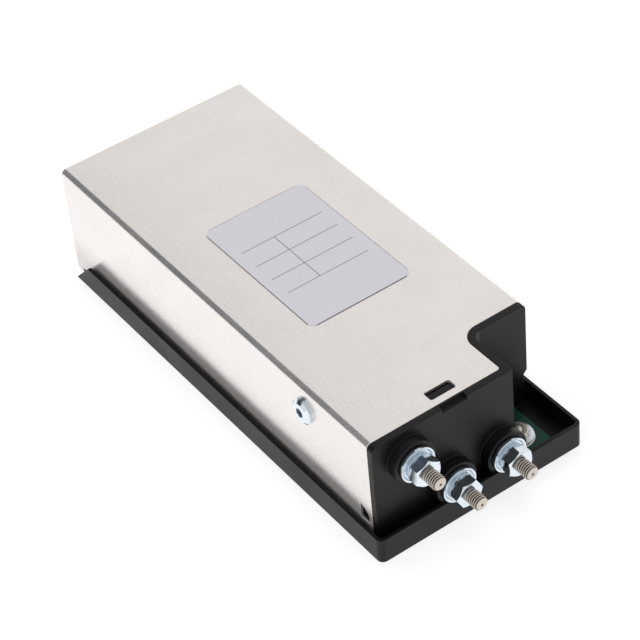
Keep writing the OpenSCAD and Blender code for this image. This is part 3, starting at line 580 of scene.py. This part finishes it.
class FILTER_OT_studs(bpy.types.Operator):
    """Cut the threads of the six terminal studs and the tongue's stud"""

    bl_idname = "filter.studs"
    bl_label = "Threaded studs"

    def execute(self, context):
        finish = thread_finish()
        pitch, depth = sizes().thread_pitch, sizes().thread_depth
        for name in ("earth", "neutral", "phase"):
            for node, outward in (("load_stud_" + name, -1), ("line_stud_" + name, 1)):
                low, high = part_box(node)
                threaded_stud(node, 1, outward, finish, HEAD_T, SHANK_R, THREAD_R,
                              high[1] - low[1] - FREE_END, pitch, depth, sizes().tip_hole)
        threaded_stud("tongue_stud", 2, 1, finish, PAD_HEAD_T, PAD_STUD_R, PAD_STUD_R,
                      PAD_THREAD_FROM, PAD_PITCH, PAD_DEPTH, PAD_HOLE)
        return {"FINISHED"}


class FILTER_OT_inside(bpy.types.Operator):
    """Finish the board, the choke, the capacitors and the other parts inside"""

    bl_idname = "filter.inside"
    bl_label = "Board and components"

    def execute(self, context):
        dress(lacquer_finish(), "circuit_board")
        dress(enamel_finish(), "choke_winding_phase", "choke_winding_neutral")
        for finish, nodes in (
                (plain_body_finish("core_coating", (0.04, 0.05, 0.045), (0.08, 0.09, 0.085), 0.45, 2 * MM),
                 ("choke_core",)),
                (plain_body_finish("film_capacitor", (0.52, 0.40, 0.05), (0.62, 0.48, 0.07), 0.35, 5 * MM),
                 ("x_capacitor_line", "x_capacitor_load")),
                (plain_body_finish("disc_coating", (0.02, 0.10, 0.35), (0.04, 0.16, 0.45), 0.3, 2 * MM),
                 ("y_capacitors", "surge_disc")),
                (plain_body_finish("resistor_coating", (0.48, 0.36, 0.2), (0.58, 0.46, 0.28), 0.5, 1 * MM),
                 ("discharge_resistor",))):
            dress(finish, *nodes)
        return {"FINISHED"}


class FILTER_OT_stage(bpy.types.Operator):
    """Set the floor, the lamps, the world and the camera"""

    bl_idname = "filter.stage"
    bl_label = "Stage"

    def execute(self, context):
        scene = context.scene
        scene.view_settings.view_transform = "Standard"
        white_floor()
        studio_world()
        dark_flag()
        area_lamp("lamp_left", (-0.9, -0.25, 0.5), 0.7, 2.8)
        area_lamp("lamp_top", (0.25, 0.35, 1.2), 0.9, 2.4)
        place_camera(scene)
        return {"FINISHED"}


def white_floor():
    """Pale floor that shows white, less a soft shadow under the object."""
    mesh = bpy.data.meshes.new("floor")
    mesh.from_pydata([(-4, -4, 0), (4, -4, 0), (4, 4, 0), (-4, 4, 0)], [], [(0, 1, 2, 3)])
    floor = bpy.data.objects.new("floor", mesh)
    bpy.context.scene.collection.objects.link(floor)
    floor.location.z = -0.00005
    s = Shader("floor")
    path = s.add("ShaderNodeLightPath").socket.node
    seen = Sock(s, path.outputs["Is Camera Ray"]) * 0.72 + Sock(s, path.outputs["Is Glossy Ray"]) * 0.95
    s.finish(Base_Color=(0.5, 0.5, 0.5), Roughness=0.9, Specular_IOR_Level=0.0,
             Emission_Color=(1, 1, 1))
    s.put(s.bsdf.inputs["Emission Strength"], seen)
    mesh.materials.append(s.material)


def studio_world():
    """White behind everything for the camera and for gloss, an even grey for what lights the object."""
    world = bpy.data.worlds.new("studio")
    bpy.context.scene.world = world
    world.use_nodes = True
    nodes, links = world.node_tree.nodes, world.node_tree.links
    nodes.clear()
    path = nodes.new("ShaderNodeLightPath")
    out = nodes.new("ShaderNodeOutputWorld")
    soft, white = nodes.new("ShaderNodeBackground"), nodes.new("ShaderNodeBackground")
    soft.inputs[0].default_value = (0.5, 0.5, 0.52, 1)
    white.inputs[0].default_value = (1, 1, 1, 1)
    either = nodes.new("ShaderNodeMath")
    either.operation = "MAXIMUM"
    links.new(path.outputs["Is Camera Ray"], either.inputs[0])
    links.new(path.outputs["Is Glossy Ray"], either.inputs[1])
    mix = nodes.new("ShaderNodeMixShader")
    links.new(either.outputs[0], mix.inputs[0])
    links.new(soft.outputs[0], mix.inputs[1])
    links.new(white.outputs[0], mix.inputs[2])
    links.new(mix.outputs[0], out.inputs[0])


def dark_flag():
    """Curved dark card behind and left, seen in gloss only, so bends and bevels show their form.
    Point = (-reach sin a, y, reach cos a), for an angle a round the lengthwise axis and y along it."""
    reach = 0.7
    strips = 24
    angle, along = np.meshgrid(np.radians(np.linspace(-13, 92, strips + 1)), (0.25, 1.1), indexing="ij")
    points = np.stack([-reach * np.sin(angle), along, reach * np.cos(angle)], -1).reshape(-1, 3)
    k = np.arange(strips)
    faces = np.stack([2 * k, 2 * k + 1, 2 * k + 3, 2 * k + 2], -1)
    mesh = bpy.data.meshes.new("dark_flag")
    mesh.from_pydata(points.tolist(), [], faces.tolist())
    flag = bpy.data.objects.new("dark_flag", mesh)
    bpy.context.scene.collection.objects.link(flag)
    s = Shader("dark_flag")
    mesh.materials.append(s.finish(Base_Color=(0, 0, 0), Roughness=1.0, Specular_IOR_Level=0.0,
                                   Emission_Color=(0.055, 0.065, 0.09), Emission_Strength=1.0))
    flag.visible_camera = flag.visible_diffuse = flag.visible_shadow = flag.visible_transmission = False


def area_lamp(name, at, size, watts):
    """Square soft lamp at a point, turned to the object's middle."""
    light = bpy.data.lights.new(name, "AREA")
    light.size, light.energy = size, watts
    lamp = bpy.data.objects.new(name, light)
    bpy.context.scene.collection.objects.link(lamp)
    lamp.location = at
    lamp.rotation_euler = (Vector((0, 0, 0.015)) - Vector(at)).to_track_quat("-Z", "Y").to_euler()
    lamp.visible_glossy = False
    return lamp


def place_camera(scene):
    """Long lens from the near left, above the load terminals."""
    data = bpy.data.cameras.new("camera")
    data.sensor_width = 36
    data.sensor_fit = "HORIZONTAL"
    data.lens = 133.617
    data.clip_start = 0.05
    camera = bpy.data.objects.new("camera", data)
    scene.collection.objects.link(camera)
    right = Vector((0.80616, -0.58672, -0.07660))
    up = Vector((0.43895, 0.50621, 0.74234))
    back = Vector((-0.39678, -0.63207, 0.66563))
    at = Vector((-0.24578, -0.39925, 0.42737))
    camera.matrix_world = Matrix((
        (right.x, up.x, back.x, at.x), (right.y, up.y, back.y, at.y),
        (right.z, up.z, back.z, at.z), (0, 0, 0, 1)))
    scene.camera = camera


class FILTER_PT_panel(bpy.types.Panel):
    """Sizes, colours and pieces of the line filter"""

    bl_idname = "FILTER_PT_panel"
    bl_label = "Line filter"
    bl_space_type = "VIEW_3D"
    bl_region_type = "UI"
    bl_category = "Line filter"

    def draw(self, context):
        for group in (context.scene.filter_sizes, context.scene.filter_colours):
            box = self.layout.box()
            for key in type(group).__annotations__:
                box.prop(group, key)
        for operator in PIECES:
            self.layout.operator(operator.bl_idname)


PIECES = (FILTER_OT_hardware, FILTER_OT_cover, FILTER_OT_moulding, FILTER_OT_plate,
          FILTER_OT_studs, FILTER_OT_inside, FILTER_OT_stage)
CLASSES = (FILTER_PG_sizes, FILTER_PG_colours, *PIECES, FILTER_PT_panel)


def register():
    for cls in CLASSES:
        bpy.utils.register_class(cls)
    bpy.types.Scene.filter_sizes = bpy.props.PointerProperty(type=FILTER_PG_sizes)
    bpy.types.Scene.filter_colours = bpy.props.PointerProperty(type=FILTER_PG_colours)


def unregister():
    del bpy.types.Scene.filter_colours
    del bpy.types.Scene.filter_sizes
    for cls in reversed(CLASSES):
        bpy.utils.unregister_class(cls)


def main():
    register()
    for piece in PIECES:
        group, name = piece.bl_idname.split(".")
        getattr(getattr(bpy.ops, group), name)()


if __name__ == "__main__":
    main()
